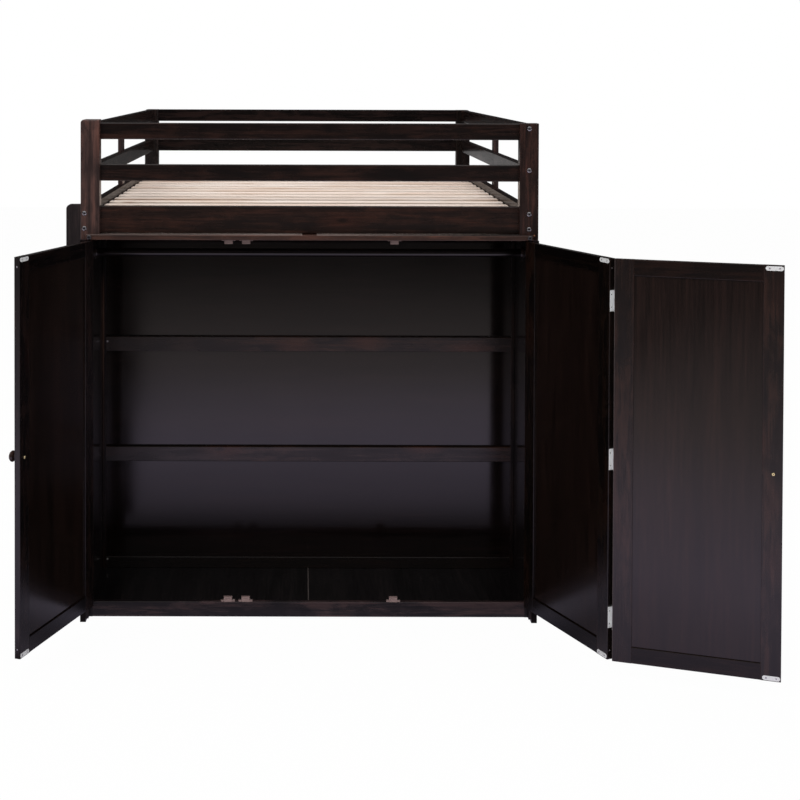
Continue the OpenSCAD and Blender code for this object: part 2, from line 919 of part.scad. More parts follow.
module knob_screw(x) {
    y1 = door_front + door_t;
    union() {
        round_y(x, knob_z, door_front - knob_l * 0.5, y1 + 0.5, knob_screw_r);
        translate([x, y1, knob_z])
            rotate([-90, 0, 0])
                cylinder(h = 1.4, r1 = 4, r2 = 3, $fn = 32);
    }
}

module knob_set(x) {
    color(wood)
        knob(x);
    color(bronze)
        knob_screw(x);
}

left_knob_x = left_x0 + door_w - knob_in;
outer_knob_x = outer_x0 + knob_in;

module left_door_stiles() { at_left_door() door_stiles(left_x0, true, false, left_knob_x); }
module left_door_rails() { at_left_door() door_rails(left_x0); }
module left_door_panel() { at_left_door() door_panel(left_x0); }
module left_door_strikes() { at_left_door() strikes(left_x0 + door_w - strike_in - strike_l / 2); }
module left_door_knob() { at_left_door() knob_set(left_knob_x); }
module left_door_hinge_leaves() {
    color(steel)
        at_left_door()
            for (z = hinge_zs)
                hinge_half(-pin_x, z, 1, true);
}

module inner_leaf_stiles() { at_inner_leaf() door_stiles(inner_x0, true, true, outer_knob_x); }
module inner_leaf_rails() { at_inner_leaf() door_rails(inner_x0); }
module inner_leaf_panel() { at_inner_leaf() door_panel(inner_x0); }
module inner_leaf_strikes() { at_inner_leaf() strikes(inner_x0 + strike_in + strike_l / 2); }
module inner_leaf_hinge_leaves() {
    color(steel)
        at_inner_leaf()
            for (z = hinge_zs) {
                hinge_half(pin_x, z, -1, true);
                hinge_half(fold_x, z, 1, false);
            }
}

module fold_hinge_pins() {
    color(steel)
        at_inner_leaf()
            for (z = hinge_zs)
                hinge_pin(fold_x, z);
}

module outer_leaf_stiles() { at_outer_leaf() door_stiles(outer_x0, false, true, outer_knob_x); }
module outer_leaf_rails() { at_outer_leaf() door_rails(outer_x0); }
module outer_leaf_panel() { at_outer_leaf() door_panel(outer_x0); }
module outer_leaf_strikes() { at_outer_leaf() strikes(outer_x0 + strike_in + strike_l / 2); }
module outer_leaf_knob() { at_outer_leaf() knob_set(outer_knob_x); }
module outer_leaf_hinge_leaves() {
    color(steel)
        at_outer_leaf()
            for (z = hinge_zs)
                hinge_half(fold_x, z, -1, true);
}

front_post_left();
front_post_right();
rear_post_left();
rear_post_right();
front_bed_rail();
rear_bed_rail();
left_bed_rail();
right_bed_rail();
front_guard_top();
front_guard_mid();
rear_guard_top();
rear_guard_mid();
left_guard_top();
left_guard_mid();
right_guard_top();
right_guard_mid();
middle_uprights();
rear_stretcher();
slat_ledges();
centre_beam();
slats();
ladder_stiles();
ladder_treads();
frame_bolts();
wardrobe_side_left();
wardrobe_side_right();
wardrobe_front_stiles();
wardrobe_bottom_rail();
wardrobe_top();
floor_panels();
floor_cleats();
back_panel_top();
back_panel_middle();
back_panel_bottom();
back_rails();
corner_strips();
hanging_rod();
rod_sockets();
magnetic_catches();
frame_hinge_leaves();
frame_hinge_pins();
left_door_stiles();
left_door_rails();
left_door_panel();
left_door_hinge_leaves();
left_door_strikes();
left_door_knob();
inner_leaf_stiles();
inner_leaf_rails();
inner_leaf_panel();
inner_leaf_hinge_leaves();
inner_leaf_strikes();
fold_hinge_pins();
outer_leaf_stiles();
outer_leaf_rails();
outer_leaf_panel();
outer_leaf_hinge_leaves();
outer_leaf_strikes();
outer_leaf_knob();
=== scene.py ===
import math

import bmesh
import bpy
from mathutils import Matrix, Vector


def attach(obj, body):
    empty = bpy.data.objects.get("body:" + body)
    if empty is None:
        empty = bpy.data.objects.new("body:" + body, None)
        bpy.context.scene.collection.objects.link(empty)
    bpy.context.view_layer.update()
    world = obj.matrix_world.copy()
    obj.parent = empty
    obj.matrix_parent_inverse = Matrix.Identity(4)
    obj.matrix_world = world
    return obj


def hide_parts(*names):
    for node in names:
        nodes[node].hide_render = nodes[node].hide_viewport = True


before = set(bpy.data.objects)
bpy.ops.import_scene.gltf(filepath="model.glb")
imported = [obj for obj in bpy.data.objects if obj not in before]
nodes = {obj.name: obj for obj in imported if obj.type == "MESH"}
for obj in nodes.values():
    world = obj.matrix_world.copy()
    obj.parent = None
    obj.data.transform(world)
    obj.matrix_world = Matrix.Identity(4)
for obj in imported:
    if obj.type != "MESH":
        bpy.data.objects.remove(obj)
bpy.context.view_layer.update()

# Sizes in metres, as in the part's source
BED_W, BED_L = 1.450, 2.000
FRONT, REAR = -BED_L / 2, BED_L / 2
HALF = BED_W / 2
BOARD_T = 0.018
RAIL_TOP, RAIL_H, RAIL_T = 1.318, 0.104, 0.024
RAIL_Z = RAIL_TOP - RAIL_H
GUARD_H, GUARD_GAP = 0.052, 0.080
MID_Z = RAIL_TOP + GUARD_GAP
TOP_Z = MID_Z + GUARD_H + GUARD_GAP
GUARD_X = HALF - BOARD_T - RAIL_T
SLATS, SLAT_PITCH, SLAT_W, SLAT_DROP = 14, 0.134, 0.070, 0.027
SLAT_SCREW_IN = 0.012
SIDE_IN = 0.001
SIDE_INNER = HALF - SIDE_IN - BOARD_T
TOP_OUT, TOP_T = 0.0225, 0.016
BOTTOM_TOP = 0.059

# The doors, as they stand when closed
HINGE_GAP, MEETING_GAP, BACK_GAP, TOP_GAP = 0.001, 0.003, 0.0016, 0.002
TONGUE = 0.0085
DOOR_T, DOOR_Z = 0.018, 0.054
DOOR_FRONT = FRONT - BACK_GAP - DOOR_T
DOOR_TOP = RAIL_Z - TOP_GAP
DOOR_EDGE = SIDE_INNER - TONGUE - HINGE_GAP
DOOR_W = (2 * DOOR_EDGE - HINGE_GAP - MEETING_GAP) / 3
INNER_Y = DOOR_FRONT + DOOR_T
PIN_X = SIDE_INNER - TONGUE - HINGE_GAP / 2
LEFT_X0 = -DOOR_EDGE
OUTER_X0 = LEFT_X0 + DOOR_W + MEETING_GAP
INNER_X0 = DOOR_EDGE - DOOR_W
FOLD_X = INNER_X0 - HINGE_GAP / 2

# The doors' fittings
STRIKE_L, STRIKE_IN, STRIKE_H, STRIKE_T = 0.048, 0.002, 0.0125, 0.001
STRIKE_ZS = (DOOR_Z + STRIKE_IN + STRIKE_H / 2, DOOR_TOP - STRIKE_IN - STRIKE_H / 2)
EDGE_SCREW_ZS = (DOOR_Z + 0.026, DOOR_TOP - 0.028)
KNOB_IN, KNOB_Z, KNOB_SCREW_OUT = 0.025, 0.632, 0.0012
CATCH_XS = (LEFT_X0 + DOOR_W - 0.023, OUTER_X0 + 0.030, INNER_X0 + 0.036)
CATCH_L, CATCH_Y, CATCH_EAR_T = 0.044, FRONT + 0.0075, 0.004
# How far from the middle their screws sit, as a share of the length
STRIKE_SCREW_AT, CATCH_SCREW_AT = 0.28, 0.4

# How far the photo's doors stand open, and the moves that take closed doors there
LEFT_OPEN, LEAF_OPEN, FOLD_OPEN = math.radians(109), math.radians(112.5), math.radians(48.5)


def turn(x, angle):
    """The move that swings a door about the upright line at x on the doors' front plane."""
    p = Matrix.Translation(Vector((x, DOOR_FRONT, 0)))
    return p @ Matrix.Rotation(angle, 4, "Z") @ p.inverted()


M_LEFT = turn(-PIN_X, -LEFT_OPEN)
M_INNER = turn(PIN_X, LEAF_OPEN)
M_OUTER = M_INNER @ turn(FOLD_X, FOLD_OPEN)


# Building blocks of the materials
def gray(v):
    return (v, v, v)


def scaled(color, *factors):
    """A colour times one factor, or its three channels times three factors."""
    return tuple(c * k for c, k in zip(color, factors * 3 if len(factors) == 1 else factors))


class Tree:
    """A short way to write the node tree of a material or of the world."""

    def __init__(self, owner):
        owner.use_nodes = True
        self.owner = owner
        self.t = owner.node_tree
        self.t.nodes.clear()

    def n(self, kind, **kw):
        node = self.t.nodes.new(kind)
        for k, v in kw.items():
            setattr(node, k, v)
        return node

    def link(self, a, b):
        self.t.links.new(a, b)

    def put(self, node, name, value):
        """Links a socket, or sets a constant."""
        s = node.inputs[name]
        if isinstance(value, bpy.types.NodeSocket):
            self.link(value, s)
        else:
            s.default_value = value

    def math(self, op, a, b=None):
        m = self.n("ShaderNodeMath", operation=op)
        self.put(m, 0, a)
        if b is not None:
            self.put(m, 1, b)
        return m.outputs[0]

    def weighed(self, *parts):
        """The sum of values times weights."""
        out = self.math("MULTIPLY", *parts[0])
        for value, weight in parts[1:]:
            out = self.math("ADD", out, self.math("MULTIPLY", value, weight))
        return out

    def add_vec(self, a, b):
        m = self.n("ShaderNodeVectorMath", operation="ADD")
        self.put(m, 0, a)
        self.put(m, 1, b)
        return m.outputs[0]

    def dot(self, a, b):
        m = self.n("ShaderNodeVectorMath", operation="DOT_PRODUCT")
        self.put(m, 0, a)
        self.put(m, 1, b)
        return m.outputs["Value"]

    def split(self, vec):
        """The outputs X, Y and Z of a vector."""
        m = self.n("ShaderNodeSeparateXYZ")
        self.put(m, 0, vec)
        return m.outputs

    def noise(self, vec, detail=3.0, rough=0.6, bend=0.0):
        m = self.n("ShaderNodeTexNoise")
        self.put(m, "Vector", vec)
        self.put(m, "Scale", 1.0)
        self.put(m, "Detail", detail)
        self.put(m, "Roughness", rough)
        self.put(m, "Distortion", bend)
        return m.outputs["Fac"]

    def cell_distance(self, vec):
        """The distance to the nearest of a scatter of points."""
        m = self.n("ShaderNodeTexVoronoi", feature="F1")
        self.put(m, "Vector", vec)
        self.put(m, "Scale", 1.0)
        return m.outputs["Distance"]

    def ramp(self, fac, stops):
        m = self.n("ShaderNodeValToRGB")
        els = m.color_ramp.elements
        while len(els) < len(stops):
            els.new(0.5)
        for e, (p, c) in zip(els, stops):
            e.position = p
            e.color = (*c, 1.0)
        self.put(m, "Fac", fac)
        return m.outputs["Color"]

    def span(self, value, a, b, c=0.0, d=1.0):
        """Takes a..b to c..d and stays within them."""
        m = self.n("ShaderNodeMapRange")
        self.put(m, "Value", value)
        self.put(m, "From Min", a)
        self.put(m, "From Max", b)
        self.put(m, "To Min", c)
        self.put(m, "To Max", d)
        return m.outputs["Result"]

    def mix(self, fac, a, b, mode="MIX"):
        """Mixes two colours."""
        m = self.n("ShaderNodeMix", data_type="RGBA", blend_type=mode)
        self.put(m, "Factor", fac)
        for s, v in (("A", a), ("B", b)):
            sock = [i for i in m.inputs if i.name == s and i.type == "RGBA"][0]
            if isinstance(v, bpy.types.NodeSocket):
                self.link(v, sock)
            else:
                sock.default_value = (*v, 1.0)
        return [o for o in m.outputs if o.type == "RGBA"][0]

    def times(self, a, b):
        """Multiplies two colours."""
        return self.mix(1.0, a, b, "MULTIPLY")

    def choose(self, fac, a, b):
        """Mixes two shaders: a where fac is 0, b where it is 1."""
        m = self.n("ShaderNodeMixShader")
        self.put(m, 0, fac)
        self.link(a, m.inputs[1])
        self.link(b, m.inputs[2])
        return m.outputs[0]

    def stretched(self, vec, scale, turn_z=0.0):
        """Coordinates turned about Z and scaled, so that grain runs along one way."""
        m = self.n("ShaderNodeMapping", vector_type="POINT")
        m.inputs["Rotation"].default_value = (0, 0, turn_z)
        self.put(m, "Vector", vec)
        k = self.n("ShaderNodeVectorMath", operation="MULTIPLY")
        self.put(k, 0, m.outputs[0])
        k.inputs[1].default_value = scale
        return k.outputs[0]

    def co(self):
        return self.n("ShaderNodeTexCoord").outputs["Object"]

    def own_point(self, co, spread, seed):
        """The coordinates, shifted by a random amount of the piece's own."""
        shift = self.math("MULTIPLY_ADD", self.n("ShaderNodeObjectInfo").outputs["Random"], spread)
        shift.node.inputs[2].default_value = seed
        off = self.n("ShaderNodeCombineXYZ")
        for k in "XYZ":
            self.link(shift, off.inputs[k])
        return self.add_vec(co, off.outputs[0])

    def upward(self):
        """How far a face looks up, 1 for straight up."""
        return self.split(self.n("ShaderNodeNewGeometry").outputs["Normal"])["Z"]

    def edge_mask(self, radius):
        """1 on edges, 0 on flat faces."""
        b = self.n("ShaderNodeBevel", samples=4)
        b.inputs["Radius"].default_value = radius
        g = self.n("ShaderNodeNewGeometry")
        return self.span(self.dot(b.outputs["Normal"], g.outputs["Normal"]), 0.995, 0.86)

    def surface(self, color, rough, bump=None, constants=None):
        """Ends a material; bump is height, strength and distance. Returns the material."""
        bs = self.n("ShaderNodeBsdfPrincipled")
        self.put(bs, "Base Color", color)
        self.put(bs, "Roughness", rough)
        for name, value in (constants or {}).items():
            self.put(bs, name, value)
        if bump:
            b = self.n("ShaderNodeBump")
            for name, value in zip(("Height", "Strength", "Distance"), bump):
                self.put(b, name, value)
            self.link(b.outputs[0], bs.inputs["Normal"])
        return self.finish(bs.outputs[0])

    def finish(self, shader, kind="ShaderNodeOutputMaterial"):
        out = self.n(kind)
        self.link(shader, out.inputs["Surface"])
        return self.owner


def grain_scale(axis, along, across):
    return tuple(along if c == axis else across for c in "XYZ")


def dark_wood(name, axis, turn_z=0.0, *, base, seed, contrast=1.0, rough=0.24, spec=0.5,
              edge_wear_and_highlight_tone=2.6, ends=1.0, knots=0.0, wave=1.0, under=None, over=None):
    """Pine stained espresso under lacquer: streaks, mottling, pores, rubbed edges, end grain.

    turn_z is the piece's turn about Z, knots and wave say how knotty it is and how much its
    grain bends, and ends is the tone of faces that look up: their end grain, lightened further by
    painted light from above. The rubbed edges are lightened by wear and by a painted highlight.
    The marks under and over are laid below and above these edges.
    """
    t = Tree(bpy.data.materials.new(name))
    co = t.co()
    point = t.own_point(co, spread=7.3, seed=seed)

    def grain(along, across, detail, noise_rough, bend=0.0):
        return t.noise(t.stretched(point, grain_scale(axis, along, across), turn_z),
                       detail, noise_rough, bend)

    band = grain(1.5, 21.0, 3.0, 0.55, 0.9 * wave)
    streak = grain(4.2, 58.0, 4.0, 0.6, 1.1)
    blot = grain(7.0, 14.0, 3.0, 0.6, 0.8 * wave)
    pore = grain(14.0, 330.0, 3.0, 0.6)
    ring = grain(1.1, 95.0, 2.0, 0.5, 1.8)
    figure = t.weighed((streak, 0.34), (band, 0.22), (blot, 0.31), (pore, 0.13))
    w = 0.090 / contrast
    col = t.ramp(figure, [(0.50 - w, scaled(base, 0.42, 0.46, 0.50)), (0.50, base),
                          (0.50 + w, scaled(base, 2.25, 1.95, 1.80))])
    col = t.mix(0.6, col, t.times(col, t.span(ring, 0.42, 0.50, 0.60, 1.0)))
    if knots:
        away = t.cell_distance(t.stretched(point, grain_scale(axis, 3.4, 8.5), turn_z))
        glow = t.span(away, 0.10, 0.34, 1.0, 0.0)
        eye = t.span(away, 0.03, 0.09, 1.0, 0.0)
        col = t.mix(t.math("MULTIPLY", glow, knots), col, scaled(base, 3.2, 1.9, 1.35))
        col = t.mix(t.math("MULTIPLY", eye, 0.8), col, scaled(base, 0.35))
    if under:
        col = under(t, co, col)
    # Faces that look up: end grain, lightened further by painted light from above.
    if ends != 1.0:
        col = t.mix(t.span(t.upward(), 0.85, 0.97), col,
                    scaled(scaled(base, ends), 1.0, 1.05, 1.1))
    # Edges are lightened in patches: partly wear, partly a painted highlight on the arrises.
    edge_patches = t.noise(t.stretched(point, (30, 30, 30)), 3.0, 0.55)
    edge_wear_and_highlight = t.math("MULTIPLY", t.edge_mask(0.0028), t.span(edge_patches, 0.35, 0.7, 0.2, 0.85))
    col = t.mix(edge_wear_and_highlight, col, scaled(scaled(base, edge_wear_and_highlight_tone), 1.0, 0.95, 0.92))
    if over:
        col = over(t, co, col)
    return t.surface(
        col,
        t.math("ADD", t.span(figure, 0.38, 0.62, rough + 0.05, rough - 0.04),
               t.math("MULTIPLY", pore, 0.05)),
        (t.weighed((pore, 0.6), (streak, 0.5)), 0.14, 0.0005),
        {"IOR": 1.5, "Specular IOR Level": spec})


# Marks, laid where the photo has them
def plain_end_and_floor_shade(t, co, col):
    """Back rails: little figure at the left end, and painted shade on the batten at the floor."""
    at = t.split(co)
    plain = t.mix(0.8, col, (0.0075, 0.0058, 0.0052))
    col = t.mix(t.span(at["X"], -0.24, -0.40, 0.0, 0.85), col, plain)
    return t.mix(t.span(at["Z"], 0.30, 0.20, 0.0, 0.88), col, (0.0046, 0.0032, 0.0030))


def painted_slit_light(t, co, col):
    """Top board: a painted strip of reflected light below the bed rail, cut at the centre beam,
    fading right.
    """
    at = t.split(co)
    across = t.math("MULTIPLY", t.span(t.upward(), 0.80, 0.95),
                    t.span(at["Y"], -0.972, -0.980))
    across = t.math("MULTIPLY", across, t.span(t.math("ABSOLUTE", at["X"]), 0.022, 0.024))
    along = t.ramp(t.span(at["X"], -0.7, 0.7), [
        (0.0, gray(0.13)), (0.25, gray(0.18)), (0.42, gray(0.30)), (0.60, gray(0.24)),
        (0.72, gray(0.12)), (0.88, gray(0.04))])
    return t.mix(across, col, t.times(along, (1.0, 0.78, 0.72)))


def painted_arris_highlight(t, co, col):
    """Left corner strip: a painted highlight on one arris, mostly in its upper half, shaded off
    under the top board.
    """
    at = t.split(co)
    across = t.math("MULTIPLY", t.span(at["X"], -0.7000, -0.7012),
                    t.span(at["X"], -0.7070, -0.7064))
    along = t.ramp(t.span(at["Z"], 0.2, 1.2), [
        (0.10, gray(0.0)), (0.22, gray(0.10)), (0.45, gray(0.25)), (0.60, gray(0.75)),
        (0.70, gray(1.0)), (0.80, gray(0.75)), (0.87, gray(0.0))])
    return t.mix(t.math("MULTIPLY", across, along), col, (0.058, 0.030, 0.022))


def edge_past(direction, start, tone):
    """A mark on whatever lies past start along a direction."""
    def mark(t, co, col):
        return t.mix(t.span(t.dot(co, direction), start, start + 0.0008), col, tone)
    return mark


def panel_board(name, axis, turn_z=0.0, *, base, seed, rough=0.15, seam=False, dull_left=False):
    """Smooth veneered board under half-gloss espresso lacquer.

    seam is the pale line where two floor panels meet, dull_left the dull margin at the left end
    of the back panels.
    """
    t = Tree(bpy.data.materials.new(name))
    co = t.co()
    point = t.own_point(co, spread=5.1, seed=seed)
    streak = t.noise(t.stretched(point, grain_scale(axis, 1.2, 18.0), turn_z), 4.0, 0.55, 0.5)
    fine = t.noise(t.stretched(point, grain_scale(axis, 6.0, 170.0), turn_z), 3.0, 0.6)
    cloud = t.noise(t.stretched(point, (4.0, 4.0, 4.0)), 3.0, 0.5)
    col = t.ramp(t.weighed((streak, 0.45), (fine, 0.55)), [
        (0.38, scaled(base, 0.55)), (0.52, base), (0.66, scaled(base, 1.8, 1.65, 1.6))])
    if seam:
        off_middle = t.math("ABSOLUTE", t.split(co)["X"])
        col = t.mix(t.span(off_middle, 0.0010, 0.0020, 1.0, 0.0), col, (0.12, 0.10, 0.095))
    constants = {"IOR": 1.5}
    if dull_left:
        constants["Specular IOR Level"] = t.span(t.split(co)["X"], -0.672, -0.662, 0.22, 0.5)
    return t.surface(
        col,
        t.math("ADD", t.span(cloud, 0.3, 0.7, rough - 0.02, rough + 0.03),
               t.math("MULTIPLY", fine, 0.03)),
        (fine, 0.08, 0.0005), constants)


def pine(name):
    """Planed pine slats: warm streaks, a few knots, every slat its own tone."""
    t = Tree(bpy.data.materials.new(name))
    co = t.co()
    first_y = SLATS / 2 * SLAT_PITCH
    slat = t.math("FLOOR", t.math("DIVIDE", t.math("ADD", t.split(co)["Y"], first_y), SLAT_PITCH))
    own = t.n("ShaderNodeTexWhiteNoise", noise_dimensions="1D")
    t.link(slat, own.inputs["W"])
    off = t.n("ShaderNodeCombineXYZ")
    t.link(t.math("MULTIPLY", own.outputs["Value"], 11.0), off.inputs["X"])
    t.link(t.math("MULTIPLY", slat, 3.7), off.inputs["Y"])
    point = t.add_vec(co, off.outputs[0])
    streak = t.noise(t.stretched(point, (1.3, 38.0, 38.0)), 4.0, 0.6, 0.8)
    fine = t.noise(t.stretched(point, (7.0, 300.0, 300.0)), 3.0, 0.6)
    patch = t.noise(t.stretched(point, (2.2, 9.0, 9.0)), 2.0, 0.5, 0.4)
    figure = t.weighed((streak, 0.55), (fine, 0.15), (patch, 0.30))
    col = t.ramp(figure, [(0.38, (0.60, 0.42, 0.32)), (0.48, (0.77, 0.63, 0.54)),
                          (0.58, (0.89, 0.79, 0.73))])
    knot = t.span(t.cell_distance(t.stretched(point, (3.1, 14.0, 0.0))), 0.03, 0.11, 1.0, 0.0)
    col = t.mix(t.math("MULTIPLY", knot, 0.75), col, (0.34, 0.18, 0.11))
    tone = t.span(own.outputs["Value"], 0.0, 1.0, 0.86, 1.05)
    tint = t.n("ShaderNodeCombineColor")
    for k in ("Red", "Green", "Blue"):
        t.link(tone, tint.inputs[k])
    col = t.times(col, tint.outputs[0])
    col = t.mix(t.math("MULTIPLY", t.edge_mask(0.002), 0.25), col, (0.68, 0.54, 0.43))
    return t.surface(col, t.span(figure, 0.3, 0.7, 0.62, 0.5),
                     (t.math("ADD", streak, t.math("MULTIPLY", fine, 0.6)), 0.35, 0.0008))


def metal(name, color, rough, wear=(0.25, 0.24, 0.22), pure=1.0):
    """Plated steel with faint brushing, cloudy sheen and a little tarnish."""
    t = Tree(bpy.data.materials.new(name))
    co = t.co()
    brush = t.noise(t.stretched(co, (60.0, 60.0, 600.0)), 3.0, 0.6)
    cloud = t.noise(t.stretched(co, (45, 45, 45)), 3.0, 0.6)
    col = t.mix(t.span(cloud, 0.45, 0.8, 0.0, 0.35), color, wear)
    # Lighter edges: a painted highlight.
    col = t.mix(t.math("MULTIPLY", t.edge_mask(0.0006), 0.4), col,
                tuple(min(1.0, c) for c in scaled(color, 1.25)))
    return t.surface(
        col,
        t.math("ADD", t.span(cloud, 0.3, 0.7, rough - 0.06, rough + 0.08),
               t.math("MULTIPLY", brush, 0.06)),
        (brush, 0.12, 0.0002), {"Metallic": pure})


def plastic(name, color, rough):
    """Moulded plastic with a fine spark-eroded skin."""
    t = Tree(bpy.data.materials.new(name))
    co = t.co()
    grit = t.noise(t.stretched(co, (900, 900, 900)), 2.0, 0.6)
    cloud = t.noise(t.stretched(co, (70, 70, 70)), 3.0, 0.6)
    col = t.mix(t.span(cloud, 0.35, 0.75, 0.0, 0.5), color, scaled(color, 0.62))
    # Lighter edges: a painted highlight.
    col = t.mix(t.math("MULTIPLY", t.edge_mask(0.0009), 0.5), col,
                tuple(min(1.0, c) for c in scaled(color, 1.5)))
    return t.surface(col, t.span(grit, 0.3, 0.7, rough - 0.05, rough + 0.08),
                     (grit, 0.25, 0.0002))


def painted_slot_shade(name, color, rough):
    """Painted shade for the bottom of a screw's slot or a bolt's socket: near black, a little
    uneven.
    """
    t = Tree(bpy.data.materials.new(name))
    speckle = t.noise(t.stretched(t.co(), (800, 800, 800)), 2.0, 0.6)
    return t.surface(t.mix(speckle, color, scaled(color, 0.4)), rough)


# Materials of the CAD's pieces
wood_x = dark_wood("wood_x", "X", base=(0.0103, 0.0051, 0.0042), seed=1.0, contrast=1.15)
wood_rail = dark_wood("wood_bed_rail", "X", base=(0.0135, 0.0062, 0.0047), seed=1.6,
                      contrast=1.1, knots=0.35)
wood_top = dark_wood("wood_top_board", "X", base=(0.044, 0.0215, 0.0165), seed=2.0,
                     contrast=0.9, over=painted_slit_light)
wood_foot = dark_wood("wood_bottom_rail", "X", base=(0.0205, 0.0135, 0.0150), seed=2.6,
                      contrast=1.7)
wood_y = dark_wood("wood_y", "Y", base=(0.0085, 0.0045, 0.0040), seed=3.0, rough=0.16, spec=0.15)
wood_bed_side = dark_wood("wood_bed_side", "Y", base=(0.0085, 0.0045, 0.0040), seed=3.2,
                          rough=0.2, spec=0.02)
wood_rear = dark_wood("wood_rear", "X", base=(0.0070, 0.0045, 0.0044), seed=3.5, contrast=1.5,
                      rough=0.22, spec=0.2)
wood_upright = dark_wood("wood_upright", "Z", base=(0.0345, 0.0210, 0.0202), seed=3.8)
# The left rear post takes a lighter tone of the same stain than the right: painted light, lit and
# shaded copies.
wood_rear_post_lit = dark_wood("wood_rear_post_left_lit", "Z", base=(0.0128, 0.0094, 0.0094), seed=4.0,
                        ends=3.0)
wood_rear_post_shaded = dark_wood("wood_rear_post_right_shaded", "Z", base=(0.0068, 0.0036, 0.0030), seed=4.1,
                        ends=3.0)
wood_side = dark_wood("wood_side_board", "Z", base=(0.0076, 0.0057, 0.0060), seed=4.4,
                      contrast=0.35, ends=6.0, rough=0.12, spec=0.08)
wood_stile = dark_wood("wood_front_stile", "Z", base=(0.0095, 0.0055, 0.0047), seed=4.8,
                       ends=10.0)
wood_ladder = dark_wood("wood_ladder", "Z", base=(0.0260, 0.0195, 0.0205), seed=4.9,
                        contrast=0.7)
wood_tread = dark_wood("wood_tread", "Y", base=(0.0150, 0.0105, 0.0105), seed=4.95)
# The left front post takes a lighter tone of the same stain than the right: painted light, lit and
# shaded copies.
wood_post_lit = dark_wood("wood_post_left_lit", "Z", base=(0.0440, 0.0250, 0.0226), seed=5.0,
                        contrast=0.85, knots=0.45, wave=2.4)
wood_post_shaded = dark_wood("wood_post_right_shaded", "Z", base=(0.0198, 0.0096, 0.0082), seed=6.0,
                        contrast=1.1)
wood_strip = dark_wood("wood_corner_strip", "Z", base=(0.0060, 0.0036, 0.0031), seed=6.6,
                       spec=0.2, over=painted_arris_highlight)
wood_in = dark_wood("wood_inside", "X", base=(0.0125, 0.0060, 0.0044), seed=7.0, contrast=1.5,
                    knots=0.8, under=plain_end_and_floor_shade)
rod_skin = dark_wood("rod_lacquer", "X", base=(0.0045, 0.0026, 0.0023), seed=7.4, contrast=0.7,
                     rough=0.13)
knob_wood = dark_wood("knob_wood", "Z", base=(0.0320, 0.0138, 0.0102), seed=12.0)
steel = metal("zinc_steel", (0.80, 0.80, 0.79), 0.34)
nickel = metal("nickel", (0.44, 0.45, 0.46), 0.22, wear=(0.3, 0.29, 0.28))
dark_steel = metal("dark_steel", (0.16, 0.16, 0.17), 0.36, wear=(0.06, 0.05, 0.05))
copper = metal("copper", (0.86, 0.40, 0.24), 0.3, wear=(0.5, 0.2, 0.1))
brass = metal("brass", (0.95, 0.78, 0.45), 0.42, wear=(0.6, 0.42, 0.2), pure=0.4)
bright = metal("bright_zinc", (0.80, 0.81, 0.82), 0.38, wear=(0.75, 0.75, 0.76), pure=0.25)
bronze = plastic("bronze_plastic", (0.27, 0.185, 0.178), 0.42)
# Near-black painted shade for the slots and sockets of screws and bolts
recess_shade = painted_slot_shade("recess_shade", (0.01, 0.01, 0.01), 0.8)
slat_pine = pine("slat_pine")
back_x = panel_board("back_board", "X", base=(0.0046, 0.0026, 0.0024), seed=1.0, rough=0.085,
                     dull_left=True)
inside_y = panel_board("inside_board", "Y", base=(0.0072, 0.0060, 0.0064), seed=2.0, rough=0.22,
                       seam=True)

LOOK = {n: wood_x for n in nodes}
for look, names in (
        (wood_y, "left_guard_top left_guard_mid right_guard_top right_guard_mid"),
        (wood_y, "slat_ledges centre_beam"),
        (wood_bed_side, "left_bed_rail right_bed_rail"),
        (wood_rail, "front_bed_rail"),
        (wood_rear, "rear_bed_rail rear_guard_top rear_guard_mid"),
        (wood_rear_post_lit, "rear_post_left"),
        (wood_rear_post_shaded, "rear_post_right"),
        (wood_post_lit, "front_post_left"),
        (wood_post_shaded, "front_post_right"),
        (wood_upright, "middle_uprights"),
        (wood_ladder, "ladder_stiles"),
        (wood_tread, "ladder_treads"),
        (wood_top, "wardrobe_top"),
        (wood_foot, "wardrobe_bottom_rail"),
        (wood_side, "wardrobe_side_left wardrobe_side_right"),
        (wood_stile, "wardrobe_front_stiles"),
        (wood_strip, "corner_strips"),
        (wood_in, "back_rails rod_sockets"),
        (rod_skin, "hanging_rod"),
        (back_x, "back_panel_top back_panel_middle back_panel_bottom"),
        (inside_y, "floor_panels"),
        (slat_pine, "slats"),
        (bronze, "magnetic_catches"),
        (nickel, "frame_bolts"),
        (steel, "frame_hinge_leaves frame_hinge_pins fold_hinge_pins left_door_hinge_leaves"),
        (bright, "inner_leaf_hinge_leaves outer_leaf_hinge_leaves"),
        (bright, "left_door_strikes inner_leaf_strikes outer_leaf_strikes"),
        (knob_wood, "left_door_knob outer_leaf_knob")):
    for n in names.split():
        LOOK[n] = look

# A painted highlight along the far edge of the outer leaf
EDGE_HIGHLIGHT_W = 0.0024
far_way = M_OUTER.to_3x3() @ Vector((1, 0, 0))
far_corner = M_OUTER @ Vector((OUTER_X0 + DOOR_W - EDGE_HIGHLIGHT_W, DOOR_FRONT + DOOR_T, 0))
far_edge_highlight = edge_past(far_way, far_way.dot(far_corner), (0.045, 0.034, 0.033))

